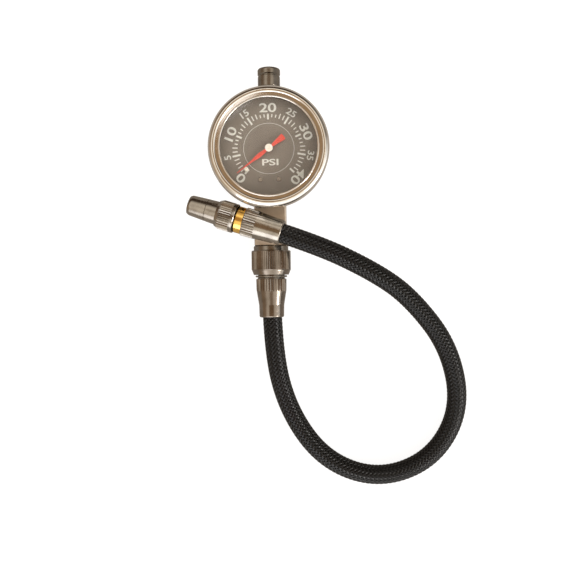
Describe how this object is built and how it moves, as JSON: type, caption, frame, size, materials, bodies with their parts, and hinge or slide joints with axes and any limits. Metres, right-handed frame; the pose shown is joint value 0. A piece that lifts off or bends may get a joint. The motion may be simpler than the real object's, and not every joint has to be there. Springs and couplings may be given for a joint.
{
  "type": "tyre inflator with gauge",
  "caption": "Hand tyre inflator: square bar with air inlet, bleed collar, dial gauge and a short braided hose that ends in a clip-on chuck.",
  "frame": {"origin": "under the middle of the tool's length, on the surface that it lies on", "axes": "+Y along the bar from the hose end to the capped air inlet, +Z out of the dial, +X to the right of the dial"},
  "size_m": [0.1662, 0.2528, 0.0491],
  "materials": {
    "plated_body": "satin gunmetal plating",
    "plated_grip": "satin gunmetal plating, knurled",
    "nickel_chuck": "satin nickel plating",
    "brass": "turned brass",
    "phosphor_bronze": "drawn bronze",
    "spring_steel": "bright steel",
    "steel_screws": "bright steel",
    "black_rubber": "moulded",
    "braided_hose": "fine black braid over rubber",
    "bright_bezel": "polished",
    "clear_window": "clear",
    "dial_face": "matte taupe with pale printing",
    "pointer_red": "red enamel",
    "pale_hub": "cream"
  },
  "bodies": {
    "root": {"bezel": "bright_bezel", "bleed_seals": "black_rubber", "bleed_spigot": "plated_grip", "body_block": "plated_body", "bourdon_tube": "phosphor_bronze", "case_screws": "steel_screws", "chuck_collet": "spring_steel", "chuck_core": "brass", "chuck_ferrule": "nickel_chuck", "chuck_seal": "black_rubber", "chuck_spring": "spring_steel", "core_spring": "spring_steel", "depressor_pin": "spring_steel", "dial": "dial_face", "dial_screws": "steel_screws", "gauge_case": "bright_bezel", "gauge_socket": "brass", "hairspring": "phosphor_bronze", "hose": "braided_hose", "hose_ferrule": "plated_grip", "hose_fitting": "plated_grip", "inlet_core": "brass", "inlet_stem": "plated_body", "lens": "clear_window", "lens_gasket": "black_rubber", "movement_back_plate": "brass", "movement_front_plate": "brass", "movement_pillars": "brass", "relief_plug": "black_rubber", "retaining_ring": "plated_body", "stop_pin": "pale_hub"},
    "sector": {"sector_gear": "brass"},
    "pointer": {"pointer": "pointer_red", "pointer_hub": "pale_hub", "pinion": "brass"},
    "link": {"link_rod": "brass", "tube_tip": "brass"},
    "bleed_collar": {"bleed_collar": "plated_grip"},
    "dust_cap": {"dust_cap": "plated_body", "cap_seal": "black_rubber"},
    "core_pin": {"core_pin": "spring_steel"},
    "chuck_sleeve": {"chuck_sleeve": "nickel_chuck"}
  },
  "joints": [
    {"name": "sector_turn", "type": "hinge", "parent": "root", "child": "sector", "pos_m": [0.00024, 0.00671, 0.0319], "axis": [0, 0, 1], "range_deg": [0, 43.63], "deforming": ["bourdon_tube"]},
    {"name": "pointer_turn", "type": "hinge", "parent": "root", "child": "pointer", "pos_m": [0, 0.0219, 0.0319], "axis": [0, 0, -1], "range_deg": [0, 261.76], "deforming": ["hairspring"]},
    {"name": "link_swing", "type": "hinge", "parent": "sector", "child": "link", "pos_m": [0.00144, 0.00186, 0.0319], "axis": [0, 0, 1], "range_deg": [-43.63, 0]},
    {"name": "bleed_collar_slide", "type": "slide", "parent": "root", "child": "bleed_collar", "axis": [0, 1, 0], "range_m": [0, 0.0026]},
    {"name": "cap_off", "type": "slide", "parent": "root", "child": "dust_cap", "axis": [0, 1, 0], "range_m": [0, 0.014]},
    {"name": "valve_pin_press", "type": "slide", "parent": "root", "child": "core_pin", "axis": [0, -1, 0], "range_m": [0, 0.0015], "stiffness_N_per_m": 400, "springref_m": -0.003, "deforming": ["core_spring"]},
    {"name": "chuck_sleeve_pull", "type": "slide", "parent": "root", "child": "chuck_sleeve", "axis": [0.9465, -0.3075, 0.0976], "range_m": [0, 0.004], "stiffness_N_per_m": 1500, "springref_m": -0.003, "deforming": ["chuck_spring"]}
  ],
  "couplings": [
    {"joint": "pointer_turn", "follows": "sector_turn", "ratio": 6},
    {"joint": "link_swing", "follows": "sector_turn", "ratio": -1}
  ]
}
